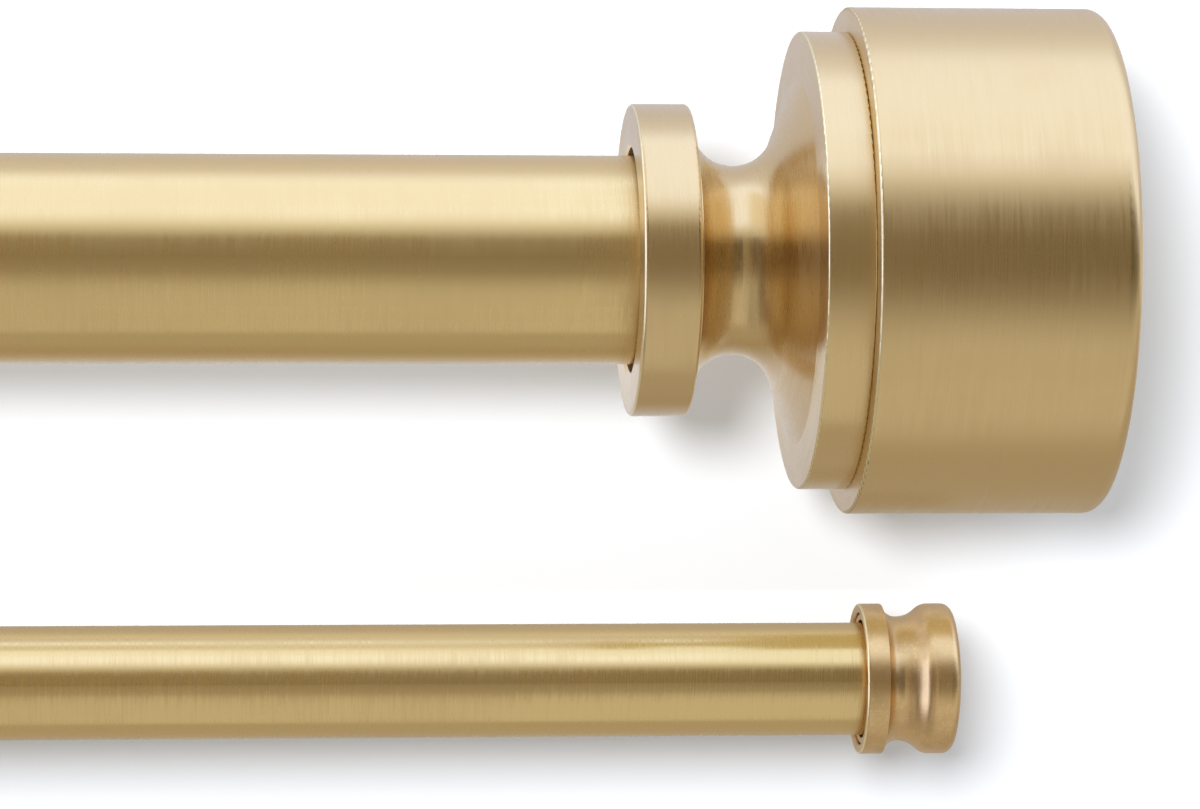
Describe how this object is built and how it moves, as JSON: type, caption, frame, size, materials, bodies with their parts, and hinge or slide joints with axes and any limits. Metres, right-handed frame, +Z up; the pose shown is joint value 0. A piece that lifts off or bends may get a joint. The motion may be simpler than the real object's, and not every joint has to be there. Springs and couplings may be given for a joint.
{
  "type": "double curtain pole",
  "caption": "Brushed gold double curtain pole: thick telescopic rod with drum finials and thin telescopic rod with beaded end caps, laid side by side.",
  "frame": {"origin": "on the surface that the set lies on, under the middle of its bounding box", "axes": "+X along the poles towards the drawn-out inner tubes, +Y from the thin back pole to the thick front pole, +Z up"},
  "size_m": [0.8934, 0.0926, 0.0618],
  "materials": {
    "brushed_gold_tube": "brass-plated steel tube, fine brushing round the tube, clear lacquer",
    "brushed_gold_turned": "turned and brushed, gold finish, clear lacquer",
    "satin_gold_cap": "satin gold finish, clear lacquer",
    "zinc_steel": "zinc-plated steel",
    "white_nylon": "moulded nylon"
  },
  "bodies": {
    "outer_tubes": {"front_outer_tube": "brushed_gold_tube", "front_left_collar": "brushed_gold_turned", "front_left_neck": "brushed_gold_turned", "front_left_drum": "brushed_gold_turned", "front_left_stud": "zinc_steel", "front_left_washer": "zinc_steel", "front_left_nut": "zinc_steel", "front_left_plug": "white_nylon", "back_outer_tube": "brushed_gold_tube", "back_left_cap": "satin_gold_cap", "back_left_stud": "zinc_steel", "back_left_plug": "white_nylon"},
    "front_inner": {"front_inner_tube": "brushed_gold_tube", "front_glide_bush": "white_nylon", "front_right_collar": "brushed_gold_turned", "front_right_neck": "brushed_gold_turned", "front_right_drum": "brushed_gold_turned", "front_right_stud": "zinc_steel", "front_right_washer": "zinc_steel", "front_right_nut": "zinc_steel", "front_right_plug": "white_nylon"},
    "back_inner": {"back_inner_tube": "brushed_gold_tube", "back_glide_bush": "white_nylon", "back_right_cap": "satin_gold_cap", "back_right_stud": "zinc_steel", "back_right_plug": "white_nylon", "back_right_sleeve": "satin_gold_cap"}
  },
  "joints": [
    {"name": "front_extend", "type": "slide", "parent": "outer_tubes", "child": "front_inner", "axis": [1, 0, 0], "range_m": [-0.0762, 0.4318]},
    {"name": "back_extend", "type": "slide", "parent": "outer_tubes", "child": "back_inner", "axis": [1, 0, 0], "range_m": [-0.0762, 0.4318]}
  ]
}
